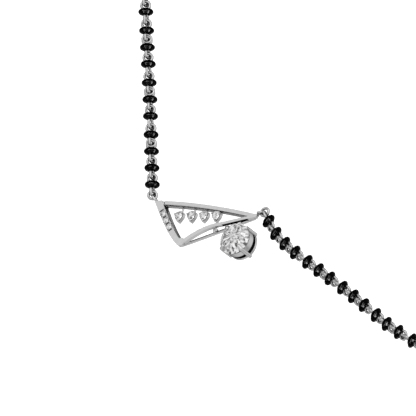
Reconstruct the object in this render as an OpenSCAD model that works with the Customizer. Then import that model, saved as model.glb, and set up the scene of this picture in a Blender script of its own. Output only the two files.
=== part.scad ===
// Diamond mangalsutra: a white metal pendant with a large round stone, a row of
// three small round stones and four pear stones, held at both ends by a whole
// loop of black rondelle beads. Worn form: the nape is the origin, +Z is up and
// the pendant hangs in front, towards -Y.

/* [Pendant frame] */
// Length of the pendant along its top bar, without the eyelets
pendant_w = 19; // [17:0.5:21]
// Depth of the pendant's V below the middle line of the top bar
pendant_h = 6.5; // [5.8:0.1:7.5]
// Thickness of the frame from its front face to its back
frame_depth = 1.5; // [1.3:0.1:1.8]
// Height of the top bar
bar_h = 0.58; // [0.5:0.02:0.7]
// How far the top bar bows up at its middle
bar_bow = 0.35; // [0.1:0.05:0.4]
// Width of the stone-set bar at its top
pave_w = 1.15; // [1.05:0.05:1.3]
// Width of the stone-set bar where it reaches the V
pave_end_w = 0.88; // [0.8:0.02:1]
// Width of the lower arm's front plate near the V
arm_w = 0.68; // [0.5:0.02:0.8]
// Width of the lower arm's front plate at the tip
arm_tip_w = 0.46; // [0.4:0.02:0.6]
// Thickness of the front plate
plate_depth = 0.6; // [0.5:0.05:0.7]
// Width and thickness of the rear rail
rail_w = 0.36; // [0.26:0.02:0.4]
// How far the frame's turned-in side groove is cut in
side_groove = 0.22; // [0.1:0.02:0.3]

/* [Solitaire] */
// Diameter of the large round stone
solitaire_d = 5; // [4.6:0.1:5.2]
// Distance of the large stone's middle in from the pendant's right end
solitaire_in = 1.6; // [1.2:0.05:2]
// Depth of the large stone's middle below the top bar
solitaire_drop = 4.6; // [4.3:0.02:4.9]
// How far the large stone's girdle stands in front of the frame
solitaire_lift = 1.1; // [0.9:0.05:1.3]
// Height of the collar under the large stone
collar_h = 1.1; // [0.9:0.02:1.3]
// Wall of the collar and of the gallery ring
collar_wall = 0.2; // [0.16:0.02:0.26]
// Diameter of a claw post
claw_d = 0.64; // [0.48:0.02:0.7]
// Turn of the four claws about the stone
claw_turn = 6; // [0:1:30]

/* [Small stones] */
// Diameter of a round stone in the stone-set bar
pave_stone_d = 0.96; // [0.8:0.02:1]
// Distance between neighbours in the stone-set bar
pave_pitch = 1.31; // [1.25:0.01:1.45]
// Width of a cut between two stones of the stone-set bar
pave_cut_w = 0.18; // [0.1:0.01:0.2]
// Width of a pear stone
pear_w = 1.42; // [1.3:0.02:1.5]
// Length of a pear stone
pear_l = 1.68; // [1.5:0.02:1.74]
// Distance between neighbouring pear stones along the top bar
pear_pitch = 2.2; // [2.1:0.05:2.3]
// Tilt of a pear stone's point towards the large stone
pear_tilt = 14; // [10:1:25]
// Diameter of a pear stone's claw
pear_claw_d = 0.24; // [0.2:0.01:0.28]

/* [Rings and clasp] */
// Outer diameter of a jump ring
ring_d = 1.7; // [1.6:0.05:1.9]
// Wire of a jump ring
ring_wire = 0.42; // [0.34:0.02:0.42]
// Outer diameter of an eyelet
eyelet_d = 1.3; // [1.2:0.05:1.4]
// Wire of an eyelet
eyelet_wire = 0.34; // [0.3:0.02:0.36]
// Length of the clasp's barrel
clasp_l = 7; // [5:0.5:10]
// Diameter of the clasp's barrel
clasp_d = 2.4; // [2:0.1:3]

/* [Beads] */
// Diameter of a black bead
bead_d = 2.3; // [2:0.02:2.4]
// Thickness of a black bead along its hole
bead_t = 0.92; // [0.7:0.02:1]
// Diameter of the chain's core
core_d = 0.5; // [0.4:0.02:0.6]
// Gap left between the chain's core and a bead's hole, on each side
core_gap = 0.2; // [0.18:0.01:0.24]
// Distance between neighbouring beads on one ring
bead_step = 2.73; // [2.5:0.01:3]
// Extra distance at every third bead, where the ring is double
double_step = 0.31; // [0:0.01:0.5]
// Lean of each bead of the left strand on its link, backwards
bead_lean_left = 5; // [0:1:20]
// Lean of each bead of the right strand on its link, backwards
bead_lean_right = 16; // [0:1:20]
// Lean of each bead of the right strand on its link, towards the nape
bead_rise_right = 7; // [0:1:10]
// Slope of the whole loop against the ground
loop_tilt = 52; // [40:1:70]

/* [Hidden] */

$fn = 48;

// Small gap between a stone and its setting
seat_gap = 0.04;
// Overlap that makes two touching shapes one solid
weld = 0.05;

// Where the frame's layers begin and end in depth; the front looks towards -Y
front_y = -frame_depth / 2;
back_y = frame_depth / 2;
plate_y = front_y + plate_depth;
rail_y = back_y - rail_w;
// The side grooves begin behind a thin lip
lip_y = front_y + 0.2;

// Round stone proportions, as shares of the diameter
table_share = 0.57;
crown_share = 0.15;
girdle_share = 0.02;
pavilion_share = 0.43;

// Turn of the pendant in the loop's plane, so that both strands rise alike
pendant_turn = 45;
// Place of the pendant's own origin in the loop's plane: sideways, up
pendant_at = [-6, 0];
// Distance in the loop's plane from the pendant's origin up to the nape
loop_h = 152;

// Each strand's chosen points in the loop's plane, from the pendant to the
// clasp: sideways, lift in front of the plane, up from the pendant's origin
LEFT_ROUTE = [[-7.5, 0, 0], [-22, 1, 6.3], [-36, 2.5, 12.4], [-49, 4, 18.7],
    [-59.5, 2, 31], [-66.5, 1, 47], [-70, 0, 66], [-70, 0, 86],
    [-65.5, 0, 106], [-57, 0, 123], [-44, 0, 137], [-27, 0, 147.5], [-6, 0, 152]];
RIGHT_ROUTE = [[7.4, 0, 14.7], [11.4, 0, 14.7], [17, 0.3, 16.2], [29, 0.6, 21],
    [43.3, 1, 26.5], [55, 0, 34.5], [63.5, 0, 46.5], [69, 0, 64],
    [70, 0, 86], [65.5, 0, 106], [57, 0, 123], [44, 0, 137], [27, 0, 147.5], [6, 0, 152]];
// Stretches of the core's tube between two chosen points
ROUTE_STEPS = 3;
// Sides of the core's tube
CORE_SIDES = 8;

// Point at share t of the curve from p[0] to p[2] that leans to p[1]
function bow(p, t) = (1 - t) * (1 - t) * p[0] + 2 * t * (1 - t) * p[1] + t * t * p[2];
function bow_path(p, n) = [for (i = [0:n]) bow(p, i / n)];
function unit(v) = v / norm(v);
function sideways(v) = [-v[1], v[0]];
// Unit direction of a path of points at its point i
function heading(path, i) =
    unit(path[min(i + 1, len(path) - 1)] - path[max(i - 1, 0)]);
// Outline of a band along a path whose width runs from w0 to w1
function band_outline(path, w0, w1) = let (n = len(path) - 1) concat(
    [for (i = [0:n]) path[i] + sideways(heading(path, i)) * (w0 + (w1 - w0) * i / n) / 2],
    [for (i = [n:-1:0]) path[i] - sideways(heading(path, i)) * (w0 + (w1 - w0) * i / n) / 2]);

// The frame's lines, as shares of its length and height: sideways, up
function at(x_share, z_share) = [x_share * pendant_w, z_share * pendant_h];
pave_line = [at(0.021, 0.04), at(0.242, -0.731), at(0.361, -0.937)];
pave_path = bow_path(pave_line, 10);
corner_at = at(0.373, -0.911);
arm_bend = bow_path([at(0.398, -0.89), at(0.537, -0.457), at(0.695, -0.34)], 8);
tip_at = at(0.985, -0.035);
arm_path = concat(arm_bend, [tip_at]);
rail_path = bow_path([at(0.355, -0.925), at(0.63, -0.53), at(0.945, -0.03)], 10);
bar_line = [at(0.082, -0.03), at(0.5, -0.03) + [0, 2 * bar_bow], tip_at];
bar_path = bow_path(bar_line, 10);
solitaire_at = [pendant_w - solitaire_in, -solitaire_drop];

// Height of the top bar's underside above a place along it
function bar_under(x) = let (t = (x - bar_line[0][0]) / (tip_at[0] - bar_line[0][0]))
    bow(bar_line, t)[1] - bar_h / 2;

// The stone-set bar's stones, counted from the top: share of the way along it
pave_first = 0.24;
pave_last = 0.545;
pave_start = bow(pave_line, pave_first);
pave_dir = unit(bow(pave_line, pave_last) - pave_start);
function pave_at(i) = pave_start + pave_dir * pave_pitch * (i - 1);
pave_lift = 0.02;

// The pear stones, counted from the stone-set bar
pear_first = at(0.264, -0.3);
pear_rise = 0.3;
function pear_at(i) = pear_first + [pear_pitch, pear_rise] * (i - 1);
pear_y = front_y + 0.2;
pear_claws = [0, 125, 235];

// Outline point of a pear stone at angle t, its point at t = 0 and downwards
pear_widest = 0.77;
function pear_point(t, w, l) =
    [w / 2 / pear_widest * sin(t) * sin(t / 2), -l / 2 * cos(t)];
function round_point(t, w, l) = [w / 2 * sin(t), -l / 2 * cos(t)];
function outline_point(t, w, l, pear) =
    pear ? pear_point(t, w, l) : round_point(t, w, l);

// A brilliant cut: a table, eight kites, eight stars and sixteen halves above the
// girdle, and eight mains and sixteen halves below. Its table looks to -Y.
star_share = 0.78;
keel_share = 0.22;
module brilliant(w, l, pear = false) {
    deep = min(w, l);
    crown = crown_share * deep;
    girdle = girdle_share * deep;
    pavilion = pavilion_share * deep;
    // Depths follow from the kites and mains being flat
    half_step = cos(22.5);
    star_y = -girdle / 2 - crown * (1 - star_share * half_step) / (1 - table_share);
    keel_y = girdle / 2 + pavilion * (1 - keel_share * half_step);
    ring = function (n, first, k, y)
        [for (i = [0:n - 1]) let (p = k * outline_point(first + i * 360 / n, w, l, pear)) [p[0], y, p[1]]];
    points = concat(
        ring(8, 0, table_share, -girdle / 2 - crown), ring(8, 22.5, star_share, star_y),
        ring(16, 0, 1, -girdle / 2), ring(16, 0, 1, girdle / 2),
        ring(8, 22.5, keel_share, keel_y), [[0, girdle / 2 + pavilion, 0]]);
    table = function (i) (i + 8) % 8;
    star = function (i) 8 + (i + 8) % 8;
    top = function (i) 16 + (i + 16) % 16;
    low = function (i) 32 + (i + 16) % 16;
    keel = function (i) 48 + (i + 8) % 8;
    culet = 56;
    faces = concat(
        [[for (i = [0:7]) table(i)]],
        [for (i = [0:7]) [table(i + 1), table(i), star(i)]],
        [for (i = [0:7]) [table(i), star(i - 1), top(2 * i), star(i)]],
        [for (i = [0:7]) [star(i), top(2 * i), top(2 * i + 1)]],
        [for (i = [0:7]) [star(i), top(2 * i + 1), top(2 * i + 2)]],
        [for (i = [0:15]) [top(i + 1), top(i), low(i), low(i + 1)]],
        [for (i = [0:7]) [keel(i), low(2 * i + 1), low(2 * i)]],
        [for (i = [0:7]) [keel(i), low(2 * i + 2), low(2 * i + 1)]],
        [for (i = [0:7]) [keel(i), low(2 * i), keel(i - 1), culet]]);
    polyhedron(points = points, faces = [for (f = faces) [for (k = [len(f) - 1:-1:0]) f[k]]]);
}

// Room that a round stone needs in its setting, with its gap
module round_room(d) {
    r = d / 2 + seat_gap;
    girdle = girdle_share * d / 2 + seat_gap;
    rotate([90, 0, 0]) rotate_extrude()
        polygon([[0, girdle + crown_share * d], [table_share * r, girdle + crown_share * d],
            [r, girdle], [r, -girdle], [0, -girdle - pavilion_share * d]]);
}

// Pushes an outline drawn in the pendant's plane through the frame's depth
module slab(y0, y1) {
    translate([0, y1, 0]) rotate([90, 0, 0]) linear_extrude(y1 - y0) children();
}

module band(path, w0, w1) polygon(band_outline(path, w0, w1));

// Straight band between two points
module link_band(a, b, w) band([a, b], w, w);

module torus(d, wire) rotate_extrude() translate([(d - wire) / 2, 0]) circle(d = wire, $fn = 24);

// The stone-set bar's level top
top_cut_at = [0, -0.12];
top_cut_slope = 12;
// The stone-set bar is as deep as the frame down to this share of its height
pave_deep_to = 0.9;

// The stone-set bar: a full-depth bar, grooved along its inner side, whose top is
// level with the top bar
module pave_bar() {
    difference() {
        union() {
            slab(front_y, plate_y) band(pave_path, pave_w, pave_end_w);
            slab(front_y, back_y) intersection() {
                band(pave_path, pave_w, pave_end_w);
                translate([-pave_w, -pave_deep_to * pendant_h])
                    square([pendant_w, 2 * pave_deep_to * pendant_h]);
            }
        }
        slab(front_y - weld, back_y + weld) translate(top_cut_at) rotate(top_cut_slope)
            translate([-pave_w, 0]) square([4 * pave_w, 2 * pave_w]);
        // Turned-in groove along the side that faces the pear stones, wide beside
        // the stones and narrow below them
        side_cut(rail_y, [0, pave_at(3)[1]]);
        side_cut(lip_y + 0.3, [0, -pave_deep_to * pendant_h]);
        for (i = [1:3]) translate([pave_at(i)[0], front_y - pave_lift, pave_at(i)[1]])
            round_room(pave_stone_d);
        for (i = [0:3]) pave_cut(i + 0.5);
    }
    for (i = [0:3]) for (side = [-1, 1]) pave_grain(i + 0.5, side);
}

// Groove of the stone-set bar from its lip back to y, above a place given as
// sideways, up
module side_cut(y, low) {
    slab(lip_y, y) translate(sideways(pave_dir) * (pave_w - side_groove)) intersection() {
        band(pave_path, pave_w, pave_end_w);
        translate(low) square([pendant_w, 2 * pendant_h]);
    }
}

// Cut across the stone-set bar's face between two stones
pave_cut_depth = 0.3;
module pave_cut(i) {
    p = pave_at(i);
    slab(front_y - 1, front_y + pave_cut_depth)
        link_band(p - sideways(pave_dir) * pave_w, p + sideways(pave_dir) * pave_w, pave_cut_w);
}

// Grain of metal that holds two neighbouring stones by their edges
grain_d = 0.24;
module pave_grain(i, side) {
    p = pave_at(i) + sideways(pave_dir) * side * (pave_stone_d / 2 - grain_d / 4);
    difference() {
        translate([p[0], front_y, p[1]]) rotate([90, 0, 0]) {
            translate([0, 0, -pave_cut_depth - weld]) cylinder(d = grain_d, h = pave_cut_depth + weld, $fn = 24);
            sphere(d = grain_d, $fn = 24);
        }
        for (j = [1:3]) translate([pave_at(j)[0], front_y - pave_lift, pave_at(j)[1]])
            round_room(pave_stone_d);
    }
}

// The top bar, grooved along its underside and as deep as the frame up to where
// the rear rail joins it. Places are shares of the pendant's length.
bar_groove_from = 0.1;
bar_groove_to = 0.9;
bar_groove_wide = 0.55;
bar_groove_deep = 0.3;
bar_deep_to = 0.945;
module top_bar() {
    difference() {
        union() {
            slab(front_y, plate_y) band(bar_path, bar_h, bar_h);
            slab(front_y, back_y) intersection() {
                band(bar_path, bar_h, bar_h);
                translate([0, -bar_h]) square([bar_deep_to * pendant_w, 3 * bar_h]);
            }
        }
        slab(lip_y, lip_y + bar_groove_wide) intersection() {
            translate([0, bar_groove_deep - bar_h]) band(bar_path, bar_h, bar_h);
            translate([bar_groove_from * pendant_w, -bar_h])
                square([(bar_groove_to - bar_groove_from) * pendant_w, 3 * bar_h]);
        }
    }
}

// The V's corner, the strut behind the lower arm and the post inside the tip
corner_d = 1.32;
strut_w = 0.42;
tip_d = 0.42;
tip_post_in = [0.35, -0.1];

// The lower arm: a front plate, a thin rear rail and what joins them
module lower_arm() {
    slab(front_y, plate_y) band(arm_path, arm_w, arm_tip_w);
    slab(rail_y, back_y) band(rail_path, rail_w, rail_w);
    // The V's rounded corner, as deep as the front plate
    slab(front_y, plate_y) translate(corner_at) circle(d = corner_d);
    // Strut between the plate and the rail
    slab(plate_y - weld, back_y) link_band(at(0.622, -0.42), at(0.634, -0.53), strut_w);
    // The tip: a round end on the front plate and a post behind it for the eyelet
    slab(front_y, plate_y) translate(tip_at) circle(d = bar_h + weld);
    slab(front_y, ring_y + eyelet_wire / 2) translate(tip_at - tip_post_in) circle(d = tip_d);
}

// Places of the collar, the gallery ring and the claws in depth
girdle_y = front_y - solitaire_lift;
collar_y0 = girdle_y + 0.27;
collar_y1 = collar_y0 + collar_h;
claw_top_y = girdle_y - 0.2;
claw_r = solitaire_d / 2 - 0.08;
claw_reach = 0.5;

module tube_y(d, wall, y0, y1) {
    slab(y0, y1) difference() {
        circle(d = d);
        circle(d = d - 2 * wall);
    }
}

// One claw: a post from the gallery ring to the girdle, bent over the crown
module claw() {
    translate([claw_r, 0, 0]) rotate([90, 0, 0]) {
        translate([0, 0, -back_y]) cylinder(d = claw_d, h = back_y - claw_top_y, $fn = 32);
        translate([0, 0, -claw_top_y]) {
            sphere(d = claw_d, $fn = 32);
            rotate([0, -55, 0]) {
                cylinder(d = claw_d * 0.9, h = claw_reach, $fn = 32);
                translate([0, 0, claw_reach]) sphere(d = claw_d * 0.9, $fn = 32);
            }
        }
    }
}

module solitaire_head() {
    difference() {
        translate([solitaire_at[0], 0, solitaire_at[1]]) {
            tube_y(solitaire_d - 0.1, collar_wall, collar_y0, collar_y1);
            tube_y(solitaire_d - 0.2, collar_wall + 0.05, back_y - 0.45, back_y);
            // The cup between the two, stepped in a little from both
            rotate([90, 0, 0]) rotate_extrude() polygon([for (p = [[0.55, 0.25 - collar_y1],
                [0.2, 0.25 - collar_y1], [0.2, weld - collar_y1], [0.3, weld - collar_y1],
                [0.3, weld - back_y], [0.55, weld - back_y]]) [solitaire_d / 2 - p[0], p[1]]]);
            for (k = [0:3]) rotate([0, -(claw_turn + 45 + 90 * k), 0]) claw();
        }
        translate([solitaire_at[0], girdle_y, solitaire_at[1]]) round_room(solitaire_d);
    }
    // Peg to the front plate and spoke to the rear rail
    head_link(109, front_y + 0.05, collar_y1 - 0.05);
    head_link(119, rail_y, back_y);
}

// Short band from the head out to the lower arm, at an angle about the stone
module head_link(angle, y0, y1) {
    out = [cos(angle), sin(angle)];
    slab(y0, y1) link_band(solitaire_at + out * (solitaire_d / 2 - 0.15),
        solitaire_at + out * (solitaire_d / 2 + 1.1), 0.46);
}

// Setting of one pear stone: a wall under the stone's edge, three claws and a peg
// up to the top bar
pear_wall_y = pear_y + 0.17;
pear_wall_depth = 0.6;
pear_peg_d = 0.3;
module pear_setting(i) {
    c = pear_at(i);
    difference() {
        translate([c[0], 0, c[1]]) rotate([0, -pear_tilt, 0]) {
            slab(pear_wall_y, pear_wall_y + pear_wall_depth) difference() {
                polygon([for (t = [0:15:345]) 1.1 * pear_point(t, pear_w, pear_l)]);
                polygon([for (t = [0:15:345]) 0.82 * pear_point(t, pear_w, pear_l)]);
            }
            for (t = pear_claws) pear_claw(0.97 * pear_point(t, pear_w, pear_l));
        }
        translate([c[0], pear_y, c[1]]) rotate([0, -pear_tilt, 0])
            brilliant(pear_w + 2 * seat_gap, pear_l + 2 * seat_gap, true);
    }
    // The peg stands behind the stone and ends inside the bar
    peg_y = pear_wall_y + pear_wall_depth - pear_peg_d / 2;
    peg_from = c[1] + pear_l / 2 - 0.25;
    translate([c[0], peg_y, peg_from]) cylinder(d = pear_peg_d,
        h = bar_under(c[0]) + bar_groove_deep + 2 * weld - peg_from, $fn = 24);
}

module pear_claw(p) {
    translate([p[0], pear_wall_y + pear_wall_depth, p[1]]) rotate([90, 0, 0]) {
        cylinder(d = pear_claw_d, h = pear_wall_depth + 0.3, $fn = 20);
        translate([0, 0, pear_wall_depth + 0.3]) sphere(d = pear_claw_d, $fn = 20);
    }
}

// Eyelets: a small ring soldered to each end, square to the pendant's plane, and
// the jump ring that hangs in it. A ring is given by its middle in depth too, by the
// way its strand leaves and by its turn about that way.
ring_y = 0.05;
left_eyelet_at = [-0.78, 0.56];
left_ring_at = [-1.218, -0.107, 0.93];
left_ring_way = 111.6;
left_ring_lean = 30;
right_eyelet_at = [pendant_w + 0.05, 0.58];
right_ring_at = [pendant_w + 0.71, ring_y, 0.8];
right_ring_way = -40;
right_ring_lean = 0;
module eyelet(c, ring_c, root) {
    way = unit(c - [ring_c[0], ring_c[2]]);
    translate([c[0], ring_y, c[1]]) rotate([0, -atan2(way[1], way[0]), 0]) torus(eyelet_d, eyelet_wire);
    // Foot from the eyelet into the frame
    foot = unit(root - c);
    slab(ring_y - eyelet_wire / 2, ring_y + eyelet_wire / 2)
        link_band(c + foot * (eyelet_d - eyelet_wire) / 2, root, eyelet_wire);
}

module in_loop_plane() {
    rotate([loop_tilt - 90, 0, 0]) translate([0, 0, -loop_h]) children();
}

module in_pendant() {
    in_loop_plane() translate([pendant_at[0], 0, pendant_at[1]])
        rotate([0, -pendant_turn, 0]) children();
}

module pendant_frame() {
    color("gainsboro") in_pendant() {
        difference() {
            union() {
                pave_bar();
                top_bar();
            }
            slab(front_y - 1, 0.3) polygon([[1.18, 0.5], [1.6, 0.5], [1.98, -0.36], [1.86, -0.36]]);
        }
        lower_arm();
        solitaire_head();
        for (i = [1:4]) pear_setting(i);
        eyelet(left_eyelet_at, left_ring_at, [0.4, -0.4]);
        eyelet(right_eyelet_at, right_ring_at, tip_at - tip_post_in);
    }
}

module solitaire_stone() {
    color("white") in_pendant() translate([solitaire_at[0], girdle_y, solitaire_at[1]])
        rotate([0, -claw_turn, 0]) brilliant(solitaire_d, solitaire_d);
}

module pave_stone(i) {
    color("white") in_pendant() translate([pave_at(i)[0], front_y - pave_lift, pave_at(i)[1]])
        brilliant(pave_stone_d, pave_stone_d);
}

module pear_stone(i) {
    color("white") in_pendant() translate([pear_at(i)[0], pear_y, pear_at(i)[1]])
        rotate([0, -pear_tilt, 0]) brilliant(pear_w, pear_l, true);
}

module jump_ring(c, way, lean) {
    color("gainsboro") in_pendant() translate(c) rotate([0, -way, 0]) rotate([lean, 0, 0])
        rotate([90, 0, 0]) torus(ring_d, ring_wire);
}

// A point of the pendant's plane, seen in the loop's plane
function to_plane(p) = let (c = cos(pendant_turn), s = sin(pendant_turn))
    [pendant_at[0] + p[0] * c - p[2] * s, p[1], pendant_at[1] + p[0] * s + p[2] * c];

// Where the clasp's rings and eyelets are
clasp_eyelet_x = clasp_l / 2 + eyelet_d / 2 - eyelet_wire - weld;
clasp_ring_x = clasp_eyelet_x + (ring_d + eyelet_d - ring_wire - eyelet_wire) / 2 - eyelet_wire - 0.08;

// A strand starts and ends this far from the middles of its two rings
strand_gap = ring_d / 2 + 0.12;

// The chosen points, moved so that the strand meets its two rings. The shift at
// one end fades out towards the other.
function fit_route(route, start, end) = let (n = len(route) - 1)
    [for (i = [0:n]) [route[i][0], -route[i][1], route[i][2]]
        + (start - [route[0][0], -route[0][1], route[0][2]]) * (1 - i / n)
        + (end - [route[n][0], -route[n][1], route[n][2]]) * i / n];

// Smooth curve through the points: each stretch leans on its two neighbours
function curve_at(p, i, t) = let (n = len(p) - 1,
        a = p[max(i - 1, 0)], b = p[i], c = p[i + 1], d = p[min(i + 2, n)])
    0.5 * (2 * b + (c - a) * t + (2 * a - 5 * b + 4 * c - d) * t * t
        + (3 * b - a - 3 * c + d) * t * t * t);
function curve(p) = concat(
    [for (i = [0:len(p) - 2]) for (k = [0:ROUTE_STEPS - 1]) curve_at(p, i, k / ROUTE_STEPS)],
    [p[len(p) - 1]]);

// Length of a line of points up to each of them
function run_lengths(q, i = 0, sum = 0) = i == len(q) - 1 ? [sum]
    : concat([sum], run_lengths(q, i + 1, sum + norm(q[i + 1] - q[i])));
// Point at a distance along a line, by looking up each of its three places
function along(q, run, d) =
    [for (k = [0:2]) lookup(d, [for (i = [0:len(q) - 1]) [run[i], q[i][k]]])];

left_line = curve(fit_route(LEFT_ROUTE, to_plane(left_ring_at), [-clasp_ring_x, 0, loop_h]));
right_line = curve(fit_route(RIGHT_ROUTE, to_plane(right_ring_at), [clasp_ring_x, 0, loop_h]));

// Beads of a strand: the first and last stand this far from their rings' middles
first_bead = 1.76;
function bead_count(run) = let (room = run[len(run) - 1] - 2 * first_bead)
    round(room / (bead_step + double_step / 3)) + 1;
function bead_place(i) = i * bead_step + double_step * max(0, floor((i - 1) / 3));
// The steps give way by a hair, so that a whole number of beads fills the strand
function bead_run(run) = let (n = bead_count(run),
        stretch = (run[len(run) - 1] - 2 * first_bead) / bead_place(n - 1))
    [for (i = [0:n - 1]) first_bead + stretch * bead_place(i)];

// One rondelle: sloping faces, a round rim and a hole for the core, wide enough for
// the bead's slope off its link
bead_rim_r = 0.28 * bead_t;
module bead(off) {
    bead_hole_r = core_d / 2 + core_gap + off * bead_t / 2;
    difference() {
        rotate_extrude() {
            translate([bead_d / 2 - bead_rim_r, 0]) circle(r = bead_rim_r, $fn = 24);
            polygon([[0, -bead_t / 2], [bead_hole_r + 0.12, -bead_t / 2],
                [bead_d / 2 - bead_rim_r, -bead_rim_r], [bead_d / 2 - bead_rim_r, bead_rim_r],
                [bead_hole_r + 0.12, bead_t / 2], [0, bead_t / 2]]);
        }
        translate([0, 0, -bead_t]) cylinder(r = bead_hole_r, h = 2 * bead_t);
    }
}

// A string of beads, each turned along the strand from just behind it to a place
// ahead of it, and leaning back and up
module bead_string(q, lean, rise = 0, ahead = bead_t) {
    run = run_lengths(q);
    off = [0, tan(lean), tan(rise)];
    color("black") in_loop_plane() for (d = bead_run(run)) {
        way = unit(unit(along(q, run, d + ahead) - along(q, run, d - bead_t)) + off);
        translate(along(q, run, d))
            rotate([0, acos(way[2]), atan2(way[1], way[0])]) bead(norm(off));
    }
}

// The chain's core: one tube swept through the beads, from ring to ring
module core(q) {
    run = run_lengths(q);
    total = run[len(run) - 1];
    path = concat([along(q, run, strand_gap)],
        [for (i = [0:len(q) - 1]) if (run[i] > strand_gap + core_d && run[i] < total - strand_gap - core_d) q[i]],
        [along(q, run, total - strand_gap)]);
    n = len(path) - 1;
    rings = [for (i = [0:n]) let (
            way = unit(path[min(i + 1, n)] - path[max(i - 1, 0)]),
            u = unit(cross(way, [0, 1, 0])), v = cross(way, u))
        for (k = [0:CORE_SIDES - 1]) path[i]
            + core_d / 2 * (u * cos(k * 360 / CORE_SIDES) + v * sin(k * 360 / CORE_SIDES))];
    sides = [for (i = [0:n - 1]) for (k = [0:CORE_SIDES - 1]) let (j = (k + 1) % CORE_SIDES)
        [i * CORE_SIDES + j, i * CORE_SIDES + k, (i + 1) * CORE_SIDES + k, (i + 1) * CORE_SIDES + j]];
    ends = [[for (k = [0:CORE_SIDES - 1]) k], [for (k = [CORE_SIDES - 1:-1:0]) n * CORE_SIDES + k]];
    color("silver") in_loop_plane() polyhedron(points = rings, faces = concat(sides, ends), convexity = 6);
}

// The hidden clasp: a plain closed barrel with an eyelet at each end
module clasp() {
    color("gainsboro") {
        rotate([0, 90, 0]) translate([0, 0, -clasp_l / 2]) cylinder(d = clasp_d, h = clasp_l);
        for (side = [-1, 1]) translate([side * clasp_eyelet_x, 0, 0])
            rotate([loop_tilt - 90, 0, 0]) rotate([90, 0, 0]) torus(eyelet_d, eyelet_wire);
    }
}

module clasp_ring(side) {
    color("gainsboro") rotate([loop_tilt - 90, 0, 0])
        translate([side * clasp_ring_x, 0, 0]) torus(ring_d, ring_wire);
}

pendant_frame();
solitaire_stone();
pave_stone(1);  // pave_stone_1
pave_stone(2);  // pave_stone_2
pave_stone(3);  // pave_stone_3
pear_stone(1);  // pear_stone_1
pear_stone(2);  // pear_stone_2
pear_stone(3);  // pear_stone_3
pear_stone(4);  // pear_stone_4
jump_ring(left_ring_at, left_ring_way, left_ring_lean);  // ring_left
jump_ring(right_ring_at, right_ring_way, right_ring_lean);  // ring_right
bead_string(left_line, bead_lean_left);  // black_beads_left
bead_string(right_line, bead_lean_right, bead_rise_right, 3 * bead_step);  // black_beads_right
core(left_line);  // chain_left
core(right_line);  // chain_right
clasp();
clasp_ring(-1);  // clasp_ring_left
clasp_ring(1);  // clasp_ring_right
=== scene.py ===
# %% [markdown]
# # A light mangalsutra, dressed for its picture
# The model that comes in already has every piece in place and at real size: the triangle pendant,
# its stones, two strands of black rondelles, and the clasp at the nape. This lesson gives each
# piece its finish, and swaps the plain core of each strand for the wire links that the real
# necklace has. Every length is in metres.

import bpy
import numpy as np
from mathutils import Matrix, Vector


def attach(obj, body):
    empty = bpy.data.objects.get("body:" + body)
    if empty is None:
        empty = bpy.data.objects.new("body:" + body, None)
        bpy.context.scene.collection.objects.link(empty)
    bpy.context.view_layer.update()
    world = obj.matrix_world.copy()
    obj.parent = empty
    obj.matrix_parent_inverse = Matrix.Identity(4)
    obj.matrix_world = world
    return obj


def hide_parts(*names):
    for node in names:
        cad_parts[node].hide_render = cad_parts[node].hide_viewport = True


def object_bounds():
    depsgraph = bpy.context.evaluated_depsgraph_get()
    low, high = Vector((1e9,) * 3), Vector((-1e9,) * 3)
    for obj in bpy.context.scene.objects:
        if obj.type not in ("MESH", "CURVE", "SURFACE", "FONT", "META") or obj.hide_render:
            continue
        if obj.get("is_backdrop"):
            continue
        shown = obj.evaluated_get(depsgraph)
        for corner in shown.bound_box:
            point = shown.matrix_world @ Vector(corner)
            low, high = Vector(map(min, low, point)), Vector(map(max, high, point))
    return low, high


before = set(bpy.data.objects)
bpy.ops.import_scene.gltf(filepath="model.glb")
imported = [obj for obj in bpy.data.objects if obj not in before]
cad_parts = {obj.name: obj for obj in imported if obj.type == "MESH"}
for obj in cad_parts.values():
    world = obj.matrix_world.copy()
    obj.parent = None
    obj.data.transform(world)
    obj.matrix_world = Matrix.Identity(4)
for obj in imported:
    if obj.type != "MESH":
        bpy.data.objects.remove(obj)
cad_low, cad_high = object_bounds()
MM = 0.001
scene = bpy.context.scene
print("pieces that came in:", len(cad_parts))

# %% [markdown]
# ## The loop's plane
# A worn necklace lies on a slope: high at the nape, low and forward at the pendant. All of it was
# laid out flat in a plane and the plane was then tilted, so it is easiest to think in that flat
# plane here too, with x sideways, y behind the plane and z up to the nape, and to turn points into
# the real frame at the end. The pendant is turned a further 45 degrees inside that plane.

# %% From the flat plane to the real frame
LOOP_TILT = np.radians(52.0)
LOOP_H = 0.152
PENDANT_AT = np.array([-0.006, 0.0])
TURN = np.radians(45.0)
CORNER = np.array([-0.75, -0.75, 0.73]) * MM


def rotation_x(angle):
    """Turn about x: y becomes y cos a - z sin a, and z becomes y sin a + z cos a."""
    c, s = np.cos(angle), np.sin(angle)
    return np.array([[1, 0, 0], [0, c, -s], [0, s, c]])


TILT = rotation_x(LOOP_TILT - np.pi / 2)


def to_world(points):
    """A point of the flat plane is lowered by the loop's height, then tilted about x."""
    return (np.asarray(points) - [0, 0, LOOP_H]) @ TILT.T


def from_pendant(points):
    """A point of the pendant: x and z are turned by 45 degrees about y and moved to its place."""
    p = np.asarray(points, float)
    c, s = np.cos(TURN), np.sin(TURN)
    return np.stack([PENDANT_AT[0] + p[..., 0] * c - p[..., 2] * s, p[..., 1],
                     PENDANT_AT[1] + p[..., 0] * s + p[..., 2] * c], -1)


corner = to_world(from_pendant(CORNER))
print("pendant's upper corner, mm:", np.round(corner / MM, 2))

# %% [markdown]
# ## The camera
# The picture looks at the pendant from its lower right and from well in front, with almost no
# perspective, and the camera is rolled so that the left strand runs nearly straight up. A long
# lens more than two metres away gives that flat look. The three directions below are the camera's
# own right, up and back, measured in the pendant's frame.

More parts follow.
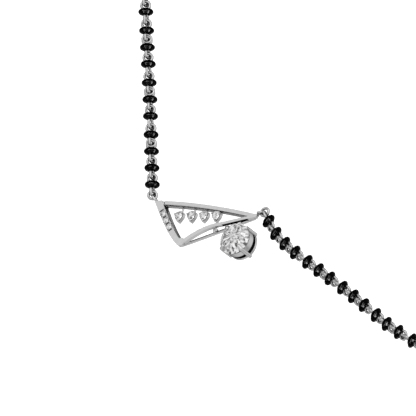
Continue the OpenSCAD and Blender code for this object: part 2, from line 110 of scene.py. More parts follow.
# %% Place the camera
RIGHT = np.array([0.801, 0.508, 0.317])
BACK = np.array([0.588, -0.767, -0.257])
BACK /= np.linalg.norm(BACK)
RIGHT -= BACK * RIGHT.dot(BACK)
RIGHT /= np.linalg.norm(RIGHT)
UP = np.cross(BACK, RIGHT)
# Lens and sensor as a camera gives them, one pixel's width at the pendant, and pixels to a side
LENS, SENSOR, PIXEL, SIDE = 1300.0, 36.0, 0.15 * MM, 416
# The picture's middle lies this many pixels right of the pendant's corner, and this many below it
MIDDLE_RIGHT, MIDDLE_BELOW = 55.5, 12.8
middle = CORNER + RIGHT * MIDDLE_RIGHT * PIXEL - UP * MIDDLE_BELOW * PIXEL
distance = SIDE * PIXEL * LENS / SENSOR

eye_at = to_world(from_pendant(middle + BACK * distance))
here = to_world(from_pendant(middle))
axes = np.array([to_world(from_pendant(middle + a)) - here for a in (RIGHT, UP, BACK)])
camera = bpy.data.objects.new("camera", bpy.data.cameras.new("camera"))
scene.collection.objects.link(camera)
camera.data.lens, camera.data.sensor_width = LENS, SENSOR
camera.data.clip_start, camera.data.clip_end = 0.05, 20.0
camera.matrix_world = Matrix.Translation(Vector(eye_at)) @ Matrix(axes.T.tolist()).to_4x4()
scene.camera = camera
print("camera is", round(distance, 3), "m away and looks along", np.round(-axes[2], 3))

# %% [markdown]
# ## Where the strands run
# The centreline of each strand was chosen as a short list of points. The same points are used
# here, so that the links pass through the middle of every bead. Between two points runs a smooth
# curve that leans on its two neighbours, cut into three short straight stretches.

# %% The points of the two centrelines
LEFT_ROUTE = np.array([
    [-0.0075, 0, 0], [-0.022, 0.001, 0.0063], [-0.036, 0.0025, 0.0124], [-0.049, 0.004, 0.0187],
    [-0.0595, 0.002, 0.031], [-0.0665, 0.001, 0.047], [-0.070, 0, 0.066], [-0.070, 0, 0.086],
    [-0.0655, 0, 0.106], [-0.057, 0, 0.123], [-0.044, 0, 0.137], [-0.027, 0, 0.1475],
    [-0.006, 0, 0.152]])
RIGHT_ROUTE = np.array([
    [0.0074, 0, 0.0147], [0.0114, 0, 0.0147], [0.017, 0.0003, 0.0162], [0.029, 0.0006, 0.021],
    [0.0433, 0.001, 0.0265], [0.055, 0, 0.0345], [0.0635, 0, 0.0465], [0.069, 0, 0.064],
    [0.070, 0, 0.086], [0.0655, 0, 0.106], [0.057, 0, 0.123], [0.044, 0, 0.137],
    [0.027, 0, 0.1475], [0.006, 0, 0.152]])
# Where each strand starts and ends: the middles of the pendant's two rings, and those of the
# clasp's rings, which follow from the sizes of clasp, eyelet and ring
LEFT_RING_AT = np.array([-1.218, -0.107, 0.93]) * MM
RIGHT_RING_AT = np.array([19.71, 0.05, 0.8]) * MM
RING_D, RING_WIRE = 1.7 * MM, 0.42 * MM
EYELET_D, EYELET_WIRE = 1.3 * MM, 0.34 * MM
CLASP_HALF, WELD, RING_GAP = 3.5 * MM, 0.05 * MM, 0.08 * MM
CLASP_EYELET_X = CLASP_HALF + EYELET_D / 2 - EYELET_WIRE - WELD
CLASP_RING_X = (CLASP_EYELET_X + (RING_D + EYELET_D - RING_WIRE - EYELET_WIRE) / 2
                - EYELET_WIRE - RING_GAP)
print("points in the routes:", len(LEFT_ROUTE), "and", len(RIGHT_ROUTE))

# %% The two centrelines
ROUTE_STEPS = 3


def centreline(route, start, end):
    """The route with its lift turned to -y, shifted at each end so that it meets its two rings
    (the shift fades out towards the other end), then joined by the cubic
    (2b + (c-a)t + (2a-5b+4c-d)t^2 + (3b-a-3c+d)t^3) / 2 through neighbours a, b, c, d."""
    p = route * [1, -1, 1]
    fade = np.linspace(0, 1, len(p))[:, None]
    p = p + (start - p[0]) * (1 - fade) + (end - p[-1]) * fade
    last = len(p) - 1
    a, b, c, d = (p[np.clip(np.arange(last) + k, 0, last)][:, None] for k in (-1, 0, 1, 2))
    t = (np.arange(ROUTE_STEPS) / ROUTE_STEPS)[None, :, None]
    curve = 0.5 * (2 * b + (c - a) * t + (2 * a - 5 * b + 4 * c - d) * t**2
                   + (3 * b - a - 3 * c + d) * t**3)
    return np.vstack([curve.reshape(-1, 3), p[-1:]])


def along(line, d):
    """Point at distance d along a line: each place is read off against the running length."""
    run = np.concatenate([[0], np.cumsum(np.linalg.norm(np.diff(line, axis=0), axis=1))])
    return np.stack([np.interp(d, run, line[:, k]) for k in range(3)], -1)


def length_of(line):
    """The sum of the lengths of all its stretches."""
    return np.linalg.norm(np.diff(line, axis=0), axis=1).sum()


left_line = centreline(LEFT_ROUTE, from_pendant(LEFT_RING_AT),
                       np.array([-CLASP_RING_X, 0, LOOP_H]))
right_line = centreline(RIGHT_ROUTE, from_pendant(RIGHT_RING_AT),
                        np.array([CLASP_RING_X, 0, LOOP_H]))
print("strands, mm:", round(length_of(left_line) / MM, 1), round(length_of(right_line) / MM, 1))

# %% [markdown]
# ## Where the beads sit
# Beads come in threes: after every third one the gap is a little longer, because its ring is
# doubled. The steps stretch by a hair so that a whole number of beads fills the strand.

# %% Bead places along each strand
# From the end ring to the first bead, from bead to bead, and what a doubled ring adds
FIRST_BEAD, BEAD_STEP, DOUBLE_STEP = 1.76 * MM, 2.73 * MM, 0.31 * MM


def bead_places(line):
    """Bead i stands at i steps plus one longer gap for every three beads past the first."""
    room = length_of(line) - 2 * FIRST_BEAD
    i = np.arange(int(round(room / (BEAD_STEP + DOUBLE_STEP / 3))) + 1)
    place = i * BEAD_STEP + DOUBLE_STEP * np.maximum(0, (i - 1) // 3)
    return FIRST_BEAD + place * room / place[-1], (i % 3 == 0) & (i > 0)


for name, line in (("left", left_line), ("right", right_line)):
    print(name, "strand:", len(bead_places(line)[0]), "beads")

# %% [markdown]
# ## A wire link
# Each bead rides on one closed wire. On the side away from the pendant the wire opens into a round
# eye that faces the viewer; it runs back through the hole as two strands that twist round each
# other, and on the near side it makes a slim eye, turned 32 degrees from edge-on, that goes through
# the round eye of the bead before and fills much of it. Eyes and legs could be separate wires, but
# one closed curve makes the whole link, with no ends that show.

# %% The sizes of one link
WIRE_R, LINK_POINTS = 0.225 * MM, 56
# Round eye: its radius, the distance of its middle from the bead's, and how far each of its halves
# goes round from the top
EYE_R, EYE_AT, EYE_SPAN = 0.65 * MM, 1.06 * MM, np.radians(152)
# Slim eye: half its width, the length of its rounded end, how far it is turned, where it starts to
# narrow and over what length
SLIM, SLIM_END, SLIM_TURN = 0.5 * MM, 0.3 * MM, np.radians(32)
NARROWS_AT, NARROWS_OVER = -0.8 * MM, 0.25 * MM
# Legs: half their distance, the half length of their twist, and where they spread to the round eye
LEG, TWIST, SPREADS_AT = 0.23 * MM, 0.42 * MM, 0.2 * MM
# Share of the curve before the round eye, and a power that sets its points closer at the slim end
NECK, LEG_POWER = 0.62, 1.15
print("wire of", round(2 * WIRE_R / MM, 2), "mm, round eye", round(2 * (EYE_R + WIRE_R) / MM, 2),
      "mm across")

# %% The curve of one link
def smooth(x):
    """0 up to x = 0, 1 from x = 1 on, and x squared times (3 - 2x) between."""
    x = np.clip(x, 0, 1)
    return x * x * (3 - 2 * x)


def link_curve(reach):
    """Closed curve of a link, as (along, across, out). s runs once round it, and t goes from 0 at
    the slim eye's end to 1 at the round eye's top and back. Before the neck the place along the
    strand grows with a power of t, and after it with the cosine of an angle. The half width is the
    slim eye's, then the legs', then the sine of that angle. Across and out are the half width
    times the sine and cosine of a turn that grows to a right angle through the bead."""
    s = np.linspace(0, 2 * np.pi, LINK_POINTS, endpoint=False)
    side, t = np.where(s <= np.pi, 1, -1), np.where(s <= np.pi, s, 2 * np.pi - s) / np.pi
    # Round eye: an angle that opens from the neck and closes at the top
    ang = np.clip((t - NECK) / (1 - NECK), 0, 1) * EYE_SPAN
    z_eye = EYE_AT + EYE_R * np.cos(EYE_SPAN - ang)
    w_eye = EYE_R * np.sin(EYE_SPAN - ang)
    z_neck, w_neck = EYE_AT + EYE_R * np.cos(EYE_SPAN), EYE_R * np.sin(EYE_SPAN)
    # Slim eye with a rounded end, then the legs, which spread again to meet the round eye
    end = -reach
    z_leg = end + (z_neck - end) * np.clip(t / NECK, 0, 1) ** LEG_POWER
    from_end = np.clip((z_leg - end) / SLIM_END, 0, 1)
    rounded = np.sqrt(np.clip(1 - (1 - from_end) ** 2, 0, 1))
    narrow = smooth((z_leg - NARROWS_AT) / NARROWS_OVER)
    spread = np.clip((z_leg - SPREADS_AT) / (z_neck - SPREADS_AT), 0, 1) ** 2
    w_leg = rounded * (SLIM * (1 - narrow) + LEG * narrow) * (1 - spread) + w_neck * spread
    z, w = np.where(t < NECK, z_leg, z_eye), np.where(t < NECK, w_leg, w_eye) * side
    turn = SLIM_TURN + smooth((z + TWIST) / (2 * TWIST)) * (np.pi / 2 - SLIM_TURN)
    return np.stack([z, w * np.sin(turn), w * np.cos(turn)], -1)


SLACK = 0.28 * MM  # how much deeper than in a chain pulled tight


def reach_over(gap):
    """How far a slim eye reaches back when the bead before is a gap away: past the end of that
    bead's round eye until wire lies on wire, and on by the slack."""
    return gap - EYE_AT - EYE_R + WIRE_R * 2 + SLACK


one_link = link_curve(reach_over(BEAD_STEP)) / MM
print("a link runs from", np.round(one_link[:, 0].min(), 2), "to",
      np.round(one_link[:, 0].max(), 2), "mm along the strand")

# %% [markdown]
# ## From a curve to a wire
# A wire is a small circle carried along its curve. A bevelled curve object would do it, but with
# 150 links it is quicker and lighter to work out all the tubes of a strand at once, with six sides
# each, which is enough for wire this thin. Smooth shading rounds them.

# %% Tubes along closed curves
WIRE_SIDES = 6
ODD_WAY = [0.31, 0.52, 0.79]  # a direction that no wire starts along


def unit(v):
    """Each vector over its own length."""
    return v / np.linalg.norm(v, axis=-1, keepdims=True)


def closed_tubes(curves, radius):
    """curves is (n, k, 3). Each is swept by a circle of the given radius: the ring of points at a
    curve point is p + r (cos a u + sin a v), where u and v are square to the curve. u is kept
    from twisting by carrying it along, and the last misfit is spread over the whole turn."""
    n, k = curves.shape[:2]
    tangent = unit(np.roll(curves, -1, 1) - np.roll(curves, 1, 1))
    u = np.empty_like(curves)
    u[:, 0] = unit(np.cross(tangent[:, 0], ODD_WAY))
    # Each step needs the one before, so this goes point by point, for all the curves at once
    for i in range(1, k + 1):
        before, way = u[:, i - 1], tangent[:, i % k]
        carried = unit(before - way * (before * way).sum(1, keepdims=True))
        if i < k:
            u[:, i] = carried
    v = np.cross(tangent, u)
    misfit = np.arctan2((carried * v[:, 0]).sum(1), (carried * u[:, 0]).sum(1))
    turn = 2 * np.pi * np.arange(WIRE_SIDES) / WIRE_SIDES
    a = turn[None, None] - misfit[:, None, None] * (np.arange(k) / k)[None, :, None]
    points = curves[:, :, None] + radius * (np.cos(a)[..., None] * u[:, :, None]
                                            + np.sin(a)[..., None] * v[:, :, None])
    index = np.arange(n * k * WIRE_SIDES).reshape(n, k, WIRE_SIDES)
    beside, ahead = np.roll(index, -1, 2), np.roll(index, -1, 1)
    faces = np.stack([index, beside, np.roll(ahead, -1, 2), ahead], -1).reshape(-1, 4)
    return points.reshape(-1, 3), faces


def mesh_piece(name, points, faces):
    """A new smooth-shaded object at the origin whose mesh holds these points and faces."""
    mesh = bpy.data.meshes.new(name)
    mesh.from_pydata(points.tolist(), [], faces.tolist())
    mesh.shade_smooth()
    mesh.update()
    piece = bpy.data.objects.new(name, mesh)
    scene.collection.objects.link(piece)
    return piece


print("faces in one link:", LINK_POINTS * WIRE_SIDES)

# %% [markdown]
# ## The strands of links
# The round eyes are turned 30 degrees about the strand, as they hang in the picture. At each bead
# three directions are worked out: along the strand, across the round eye, and out of its face.
# Where a gap is longer, a second ring lies on the round eye, a little further along.

# %% Which way each link faces
RING_LEAN = np.radians(30.0)
FRONT = np.array([0, -1.0, 0])
BEAD_T = 0.92 * MM


def strand_axes(line, places):
    """Along: the line's direction, from a bead's thickness before to as much after. Out: the front
    direction and the one square to it in the plane, mixed by the cosine and sine of 30 degrees.
    Across is square to both."""
    a = unit(along(line, places + BEAD_T) - along(line, places - BEAD_T))
    front = unit(FRONT - a * -a[:, 1:2])
    out = np.cos(RING_LEAN) * front + np.sin(RING_LEAN) * np.cross(a, front)
    return a, np.cross(out, a), out


first_out = strand_axes(left_line, bead_places(left_line)[0])[2][0]
print("the first left eye faces", np.round(first_out, 2), "in the flat plane")

# %% Build the two strands of links
SECOND_POINTS = 28  # points round a second ring
SECOND_LIFT, SECOND_WIRE = 0.4, 0.95  # its lift off the round eye and its wire, in wire radii


def make_links(name, line):
    """For each bead, the link's curve laid along the three directions there. A second ring is the
    circle middle + R (cos t along + sin t across)."""
    places, doubled = bead_places(line)
    a, across, out = strand_axes(line, places)
    centre = along(line, places)
    gap = np.diff(places, prepend=places[0] - BEAD_STEP)
    gap[0] = FIRST_BEAD + EYE_AT
    curve = np.stack([link_curve(reach) for reach in reach_over(gap)])
    curves = (centre[:, None] + curve[..., 0:1] * a[:, None] + curve[..., 1:2] * across[:, None]
              + curve[..., 2:3] * out[:, None])
    links = closed_tubes(to_world(curves), WIRE_R)
    # Second rings, where the next gap is longer
    has = np.roll(doubled, -1)
    has[-1] = False
    t = np.linspace(0, 2 * np.pi, SECOND_POINTS, endpoint=False)[None, :, None]
    mid = centre[has] + a[has] * (EYE_AT + DOUBLE_STEP) + out[has] * WIRE_R * SECOND_LIFT
    rings = mid[:, None] + EYE_R * (np.cos(t) * a[has][:, None] + np.sin(t) * across[has][:, None])
    doubles = closed_tubes(to_world(rings), WIRE_R * SECOND_WIRE)
    points = np.vstack([links[0], doubles[0]])
    faces = np.vstack([links[1], doubles[1] + len(links[0])])
    piece = mesh_piece(name, points, faces)
    print(name, len(places), "links,", int(has.sum()), "second rings,", len(faces) * 2, "triangles")
    return piece


links_left = make_links("links_left", left_line)
links_right = make_links("links_right", right_line)
for piece, node in ((links_left, "chain_left"), (links_right, "chain_right")):
    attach(piece, "root")
    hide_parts(node)

# %% [markdown]
# ## How the finishes are made
# A material is a small graph of nodes. Four helpers keep the graphs short: one starts a material,
# one adds a fine noise laid out by the object's own coordinates, and two set the greys of a ramp,
# which turns a number from 0 to 1 into a grey.

# %% Materials, noise and ramps
def new_material(name):
    """A material with nodes, those nodes, their links, and the main shader."""
    material = bpy.data.materials.new(name)
    material.use_nodes = True
    nodes = material.node_tree.nodes
    return material, nodes, material.node_tree.links, nodes["Principled BSDF"]


def noise_on(nodes, links, scale, detail=3.0):
    """Soft noise with about scale patches to a metre."""
    where = nodes.new("ShaderNodeTexCoord")
    noise = nodes.new("ShaderNodeTexNoise")
    noise.inputs["Scale"].default_value = scale
    noise.inputs["Detail"].default_value = detail
    links.new(where.outputs["Object"], noise.inputs["Vector"])
    return noise


def ramp_on(nodes, links, value, low, high, at=(0.3, 0.7)):
    """A ramp that value drives from the grey low to the grey high, between the places in at."""
    ramp = nodes.new("ShaderNodeValToRGB")
    first, second = ramp.color_ramp.elements
    first.position, second.position = at
    first.color, second.color = (low, low, low, 1), (high, high, high, 1)
    links.new(value, ramp.inputs["Fac"])
    return ramp


def set_steps(ramp, steps):
    """Gives a ramp one grey for each (place, grey) and drops the last step that it came with."""
    elements = ramp.color_ramp.elements
    for k, (place, grey) in enumerate(steps):
        step = elements[0] if k == 0 else elements.new(place)
        step.position, step.color = place, (grey, grey, grey, 1)
    elements.remove(elements[-1])


print("helpers ready")

# %% [markdown]
# ## Sums done in a material
# Some colours depend on the place on the pendant: the painted shade of the cup lies in a circle
# round the large stone, and that stone's painted sparkle runs out from its middle. Such a place is
# found by arithmetic on the object's coordinates, and a little class makes that read like a
# formula.

# %% Arithmetic nodes
class Maths:
    """Arithmetic nodes in one material. Each call adds a node for a and b, which are numbers or
    other nodes' outputs, and returns its output."""

    def __init__(self, nodes, links):
        self.nodes, self.links = nodes, links

    def __call__(self, operation, a, b=0.0):
        node = self.nodes.new("ShaderNodeMath")
        node.operation = operation
        for socket, value in zip(node.inputs, (a, b)):
            if isinstance(value, (int, float)):
                socket.default_value = value
            else:
                self.links.new(value, socket)
        return node.outputs[0]

    def times(self, first, *rest):
        """The product of all the values given."""
        for value in rest:
            first = self("MULTIPLY", first, value)
        return first

    def squares(self, a, b):
        """a squared plus b squared."""
        return self("ADD", self.times(a, a), self.times(b, b))

    def inside(self, value, limits):
        """1 between the two limits, else 0."""
        low, high = limits
        return self.times(self("GREATER_THAN", value, low), self("LESS_THAN", value, high))


sums = bpy.types.ShaderNodeMath.bl_rna.properties["operation"].enum_items
print("an arithmetic node can do", len(sums), "kinds of sum")

# %% The pendant's own millimetres
ZERO = to_world(from_pendant(np.zeros(3)))
OWN = np.stack([to_world(from_pendant(way)) - ZERO for way in np.eye(3)])


def pendant_place(maths):
    """The point in the pendant's own millimetres: each coordinate is the dot product of the point,
    measured from the pendant's zero point, with one of the pendant's own directions."""
    where = maths.nodes.new("ShaderNodeTexCoord")
    out = []
    for axis in OWN:
        dot = maths.nodes.new("ShaderNodeVectorMath")
        dot.operation = "DOT_PRODUCT"
        dot.inputs[1].default_value = axis / MM
        maths.links.new(where.outputs["Object"], dot.inputs[0])
        out.append(maths("SUBTRACT", dot.outputs["Value"], float(ZERO @ axis / MM)))
    return out


print("pendant's zero point, mm:", np.round(ZERO / MM, 2))

# %% [markdown]
# ## White gold
# White gold is a polished metal with a faint haze from handling. One flat grey would look like
# plastic, so a fine noise varies its tone and roughness a little. Narrow recesses, where shade
# falls, get painted shade: their colour is darkened. It could be painted on by hand, but ambient
# occlusion finds such places by itself. Three deep places where shade falls get dark painted shade
# by their place as well. The links, rings and clasp get a darker grey of the same metal than the
# frame, as painted shade.

# %% Painted shade in the deep places
SOLITAIRE_AT = (17.4, -4.6)  # x and z of the large stone's axis
# Limits in millimetres: squared distance from that axis, height over a line, y and x. Over a line
# (lift, slope) the height is z + lift - slope x.
# Where the painted shade lies: in the cup, under the arm and on the rail
CUP_R2, CUP_Y = (1.4, 5.3), (-0.49, 0.39)
ARM_LINE, ARM_OVER, ARM_Y, ARM_X = (6.954, 0.3594), (-0.5, -0.21), (-0.8, -0.16), (13.4, 17.6)
RAIL_LINE, RAIL_OVER, RAIL_Y, RAIL_X = (9.54, 0.5187), (0.03, 0.4), (0.37, 0.8), (7.4, 17.0)


def painted_shade_places(maths):
    """1 where painted shade goes: in the cup under the large stone, at the underside of the lower
    arm's right half and on the upper half of the rear rail, else 0: each is a product of limits,
    and the largest counts."""
    x, y, z = pendant_place(maths)

    def over(line):
        """The height z + lift - slope x."""
        lift, slope = line
        return maths("SUBTRACT", maths("ADD", z, lift), maths.times(x, slope))

    r2 = maths.squares(maths("SUBTRACT", x, SOLITAIRE_AT[0]), maths("SUBTRACT", z, SOLITAIRE_AT[1]))
    cup = maths.times(maths.inside(r2, CUP_R2), maths.inside(y, CUP_Y))
    arm = maths.times(maths.inside(over(ARM_LINE), ARM_OVER), maths.inside(y, ARM_Y),
                      maths.inside(x, ARM_X))
    rail = maths.times(maths.inside(over(RAIL_LINE), RAIL_OVER), maths.inside(y, RAIL_Y),
                       maths.inside(x, RAIL_X))
    return maths("MAXIMUM", cup, maths("MAXIMUM", arm, rail))


print("the cup is dark between these radii, mm:", np.round(np.sqrt(CUP_R2), 2))

# %% White gold for the pendant's frame, and for rings, links and clasp
HAZE, GRAIN = 1500, 9000  # patches to a metre
HAZE_DEPTH = 0.08
# The grey of the painted shade in the deep places
PAINTED_SHADE_GREY = (0.015, 0.015, 0.016, 1)


def polished_white_gold(name, light, reach, painted_shade=False):
    """Grey metal whose tone follows a fine haze and is darkened in recesses narrower than reach, as
    painted shade. When the last argument is set, the deep places get painted shade too and the
    edges are rounded by a tenth of a millimetre."""
    material, nodes, links, shader = new_material(name)
    shader.inputs["Metallic"].default_value = 1.0
    shader.inputs["Specular Tint"].default_value = (0.2, 0.2, 0.2, 1)
    haze = noise_on(nodes, links, HAZE)
    tone = ramp_on(nodes, links, haze.outputs["Fac"], light, light + HAZE_DEPTH)
    # Ambient occlusion darkens the colour in recesses: painted shade
    recess = nodes.new("ShaderNodeAmbientOcclusion")
    recess.samples = 8
    recess.inputs["Distance"].default_value = reach
    deep = ramp_on(nodes, links, recess.outputs["AO"], 0.04, 1.0, (0.2, 0.7))
    mix = nodes.new("ShaderNodeMix")
    mix.data_type, mix.blend_type = "RGBA", "MULTIPLY"
    mix.inputs["Factor"].default_value = 1.0
    links.new(tone.outputs["Color"], mix.inputs["A"])
    links.new(deep.outputs["Color"], mix.inputs["B"])
    coloured = mix.outputs["Result"]
    grain = noise_on(nodes, links, GRAIN, 2)
    bump = nodes.new("ShaderNodeBump")
    bump.inputs["Strength"].default_value = 0.06
    bump.inputs["Distance"].default_value = 0.02 * MM
    links.new(grain.outputs["Fac"], bump.inputs["Height"])
    # Painted shade over the deep places, and edges rounded by the bevel
    if painted_shade:
        cover = nodes.new("ShaderNodeMix")
        cover.data_type = "RGBA"
        links.new(painted_shade_places(Maths(nodes, links)), cover.inputs["Factor"])
        links.new(coloured, cover.inputs["A"])
        cover.inputs["B"].default_value = PAINTED_SHADE_GREY
        coloured = cover.outputs["Result"]
        rounded = nodes.new("ShaderNodeBevel")
        rounded.samples = 6
        rounded.inputs["Radius"].default_value = 0.1 * MM
        links.new(rounded.outputs["Normal"], bump.inputs["Normal"])
    links.new(coloured, shader.inputs["Base Color"])
    rough = ramp_on(nodes, links, haze.outputs["Fac"], 0.1, 0.2)
    links.new(rough.outputs["Color"], shader.inputs["Roughness"])
    links.new(bump.outputs["Normal"], shader.inputs["Normal"])
    return material


# One white gold in two greys: the copy for links, rings and clasp is painted darker than the
# frame's, as painted shade
gold = polished_white_gold("white_gold", 0.56, 1.2 * MM)
frame_gold = polished_white_gold("white_gold_frame", 0.76, 0.4 * MM, True)
print("metals:", gold.name, frame_gold.name)

# %% [markdown]
# ## Black glass
# The beads are black all through, with a soft shine that shows as one grey streak on each bead. A
# sharp gloss would make every bead glitter, so the reflection is weak and the roughness, which a
# cloudy noise varies, spreads it.

# %% Black glass for the beads
CLOUD = 600  # patches to a metre


def black_glass():
    """Nearly black, weakly reflecting, and slightly cloudy."""
    material, nodes, links, shader = new_material("black_glass")
    cloud = noise_on(nodes, links, CLOUD)
    tone = ramp_on(nodes, links, cloud.outputs["Fac"], 0.00001, 0.00004)
    links.new(tone.outputs["Color"], shader.inputs["Base Color"])
    rough = ramp_on(nodes, links, cloud.outputs["Fac"], 0.1, 0.15)
    links.new(rough.outputs["Color"], shader.inputs["Roughness"])
    shader.inputs["IOR"].default_value = 1.5
    shader.inputs["Specular IOR Level"].default_value = 0.02
    return material


beads = black_glass()
print("beads:", beads.name)

# %% [markdown]
# ## Clear stones
# A cut stone sends out many small images of bright and dark from its back facets. At this size a
# traced path of light through them would be noise, so painted reflections stand for them: a pattern
# of small cells of painted highlights and dark reflections, and the real facets of the model add
# their own gloss on top.

# %% Clear stones, small and large
CELL_PLACES = (0.0, 0.1, 0.2, 0.35, 0.5, 0.65, 0.8)
SMALL_CELLS = 4800  # cells to a metre
# Greys of the painted highlights and reflections in the small and the large stones
SMALL_GREYS = (0.1, 0.3, 0.7, 0.42, 0.8, 0.5, 0.7)
LARGE_GREYS = (0.02, 0.2, 0.8, 0.36, 0.9, 0.42, 0.75)
RING_CELLS, TURN_CELLS = 3.4, 8.0  # cells to a millimetre of radius, and to a radian


def clear_stone(name, greys, middle=None):
    """A clear stone with painted reflections of its cut: each cell has one of seven greys. About a
    middle the cells are laid out by (radius, angle), so that they are longer along the radius than
    across it."""
    material, nodes, links, shader = new_material(name)
    cells = nodes.new("ShaderNodeTexVoronoi")
    if middle is None:
        where = nodes.new("ShaderNodeTexCoord")
        cells.inputs["Scale"].default_value = SMALL_CELLS
        links.new(where.outputs["Object"], cells.inputs["Vector"])
    else:
        maths = Maths(nodes, links)
        x, _, z = pendant_place(maths)
        dx, dz = maths("SUBTRACT", x, middle[0]), maths("SUBTRACT", z, middle[1])
        polar = nodes.new("ShaderNodeCombineXYZ")
        radius = maths("SQRT", maths.squares(dx, dz))
        links.new(maths.times(radius, RING_CELLS), polar.inputs["X"])
        links.new(maths.times(maths("ARCTAN2", dz, dx), TURN_CELLS), polar.inputs["Y"])
        cells.inputs["Scale"].default_value = 1.0
        links.new(polar.outputs["Vector"], cells.inputs["Vector"])
    tone = nodes.new("ShaderNodeValToRGB")
    tone.color_ramp.interpolation = "CONSTANT"
    split_cells = nodes.new("ShaderNodeSeparateColor")
    links.new(cells.outputs["Color"], split_cells.inputs["Color"])
    links.new(split_cells.outputs["Red"], tone.inputs["Fac"])
    set_steps(tone, zip(CELL_PLACES, greys))
    links.new(tone.outputs["Color"], shader.inputs["Base Color"])
    shader.inputs["Roughness"].default_value = 0.02
    shader.inputs["IOR"].default_value = 2.2
    shader.inputs["Transmission Weight"].default_value = 0.15
    return material


stone = clear_stone("small_clear_stone", SMALL_GREYS)
big_stone = clear_stone("clear_solitaire", LARGE_GREYS, SOLITAIRE_AT)
print("stones:", stone.name, big_stone.name)

# %% [markdown]
# ## Dressing the pieces
# Every piece gets its finish by its name. The pendant's frame and the large stone have a finish of
# their own, and the rest share theirs.

# %% Give every piece its finish
def finish_with(piece, material):
    """Puts the material in the piece's only slot."""
    piece.data.materials.clear()
    piece.data.materials.append(material)


METAL = ("ring_left", "ring_right", "clasp", "clasp_ring_left", "clasp_ring_right",
         "chain_left", "chain_right")
for node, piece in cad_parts.items():
    if node == "pendant_frame":
        finish_with(piece, frame_gold)
    elif node == "solitaire_stone":
        finish_with(piece, big_stone)
    elif node in METAL:
        finish_with(piece, gold)
    elif node.startswith("black_beads"):
        finish_with(piece, beads)
    else:
        finish_with(piece, stone)
finish_with(links_left, gold)
finish_with(links_right, gold)
print("dressed", len(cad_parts), "modelled pieces and two strands of links")

# %% [markdown]
# ## Floor and sky
# The picture is cut out on pure white, so a wide pale floor below the necklace is lit until it is
# white. An all-white sky would be simpler, but polished metal would mirror it and lose its shape.
# The metal gets its greys from a sky that is bright with a few darker bands, as a light tent with
# its openings would be.

# %% A pale floor
FLOOR_REACH, FLOOR_DROP = 1.6, 0.06
floor_z = float(cad_low.z) - FLOOR_DROP
floor_corners = [(-FLOOR_REACH, -FLOOR_REACH, floor_z), (FLOOR_REACH, -FLOOR_REACH, floor_z),
                 (FLOOR_REACH, FLOOR_REACH, floor_z), (-FLOOR_REACH, FLOOR_REACH, floor_z)]
floor = bpy.data.meshes.new("floor")
floor.from_pydata(floor_corners, [], [(0, 1, 2, 3)])
floor_piece = bpy.data.objects.new("floor", floor)
scene.collection.objects.link(floor_piece)
pale, _, _, pale_shader = new_material("pale_floor")
pale_shader.inputs["Base Color"].default_value = (0.9, 0.9, 0.9, 1)
pale_shader.inputs["Roughness"].default_value = 0.9
floor_piece.data.materials.append(pale)
floor_piece.visible_glossy = False
floor_piece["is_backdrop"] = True
print("floor at", round(floor_z, 3), "m")

# %% A sky of greys
# (height from straight down, 0, to straight up, 1; grey there)
SKY_GREYS = ((0.0, 0.7), (0.2, 0.6), (0.37, 0.35), (0.45, 0.6), (0.55, 0.8), (0.66, 0.72),
             (0.76, 0.34), (0.86, 0.95), (1.0, 0.9))
world = bpy.data.worlds.new("studio")
scene.world = world
world.use_nodes = True
sky_nodes, sky_links = world.node_tree.nodes, world.node_tree.links
sky_nodes["Background"].inputs["Strength"].default_value = 1.0
where = sky_nodes.new("ShaderNodeTexCoord")
split = sky_nodes.new("ShaderNodeSeparateXYZ")
ramp = sky_nodes.new("ShaderNodeValToRGB")
sky_links.new(where.outputs["Generated"], split.inputs["Vector"])
height = sky_nodes.new("ShaderNodeMapRange")
height.inputs["From Min"].default_value, height.inputs["From Max"].default_value = -1.0, 1.0
sky_links.new(split.outputs["Z"], height.inputs["Value"])
sky_links.new(height.outputs["Result"], ramp.inputs["Fac"])
sky_links.new(ramp.outputs["Color"], sky_nodes["Background"].inputs["Color"])
set_steps(ramp, SKY_GREYS)
print("greys in the sky:", len(SKY_GREYS))

# %% [markdown]
# ## Lamps
# Black glass shows only what it mirrors. One large lamp would grey the beads all over, so each
# strand has a long narrow one of its own, set where the rounded edge of its beads mirrors it to the
# camera, and lying as the streaks lie in the picture. A small lamp is for the stones, a weak one
# for everything, and a wide one makes the floor white.

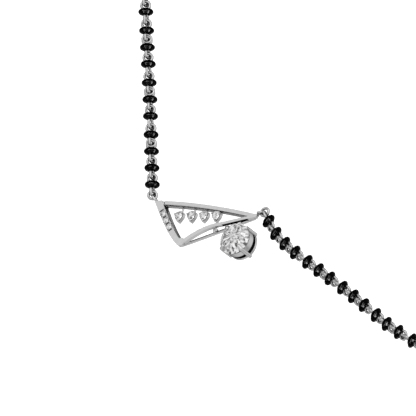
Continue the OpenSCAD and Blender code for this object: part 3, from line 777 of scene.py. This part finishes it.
# %% Soft lamps
def soft_lamp(name, place, target, size, power, only=None, side=(1, 0, 0), flat=1.0):
    """A soft oval lamp that looks at the target. Its long way, size, lies along side, and the
    other is flat times that. With only, it lights just those pieces, and nothing near them stands
    in its way: of all the pieces the far clasp alone can stop its light."""
    lamp = bpy.data.lights.new(name, "AREA")
    lamp.shape, lamp.size, lamp.size_y, lamp.energy = "ELLIPSE", size, size * flat, power
    holder = bpy.data.objects.new(name, lamp)
    scene.collection.objects.link(holder)
    away = (Vector(place) - Vector(target)).normalized()
    wide = (Vector(side) - away * away.dot(Vector(side))).normalized()
    turned = Matrix((wide, away.cross(wide), away)).transposed().to_4x4()
    holder.matrix_world = Matrix.Translation(Vector(place)) @ turned
    if only:
        lit, stops = (bpy.data.collections.new(name + end) for end in ("_lights", "_stops"))
        for piece in only:
            lit.objects.link(piece)
        stops.objects.link(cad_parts["clasp"])
        holder.light_linking.receiver_collection = lit
        holder.light_linking.blocker_collection = stops


def by_camera(right, up, nearer):
    """The place this far right of the pendant's corner, above it and nearer, to the camera."""
    return corner + np.array([right, up, nearer]) @ axes


across_picture, along_right_beads = axes[0], 0.62 * axes[0] + 0.79 * axes[1]
left_beads, right_beads = (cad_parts["black_beads_" + side] for side in ("left", "right"))
stones = [piece for node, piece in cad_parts.items() if "stone" in node]
soft_lamp("left_bead_light", by_camera(0.02, -0.54, 0.19), corner, 0.7, 62.0,
          [left_beads], across_picture, 0.22)
soft_lamp("right_bead_light", by_camera(0.31, -0.24, 0.45), corner, 0.7, 44.0,
          [right_beads], along_right_beads, 0.15)
soft_lamp("stone_light", by_camera(0.2, 0, 0.5), corner, 0.3, 1.2, stones)
soft_lamp("key", (-0.35, -0.55, 0.55), corner, 0.3, 0.35)
soft_lamp("floor_light", (0.0, 0.0, 1.2), (0, 0, floor_z), 1.2, 16.0, [floor_piece])
scene.view_settings.view_transform = "Standard"

# %% [markdown]
# ## Check the size
# The dressed model has to stay as big as the modelled one. Both boxes, in metres, are compared
# here, and the largest difference is printed in millimetres.

# %% Compare both boxes and finish
new_low, new_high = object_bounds()
grown = max(max(abs(a - b) for a, b in zip(cad_low, new_low)),
            max(abs(a - b) for a, b in zip(cad_high, new_high)))
print("the box differs by at most", round(grown / MM, 2), "mm")
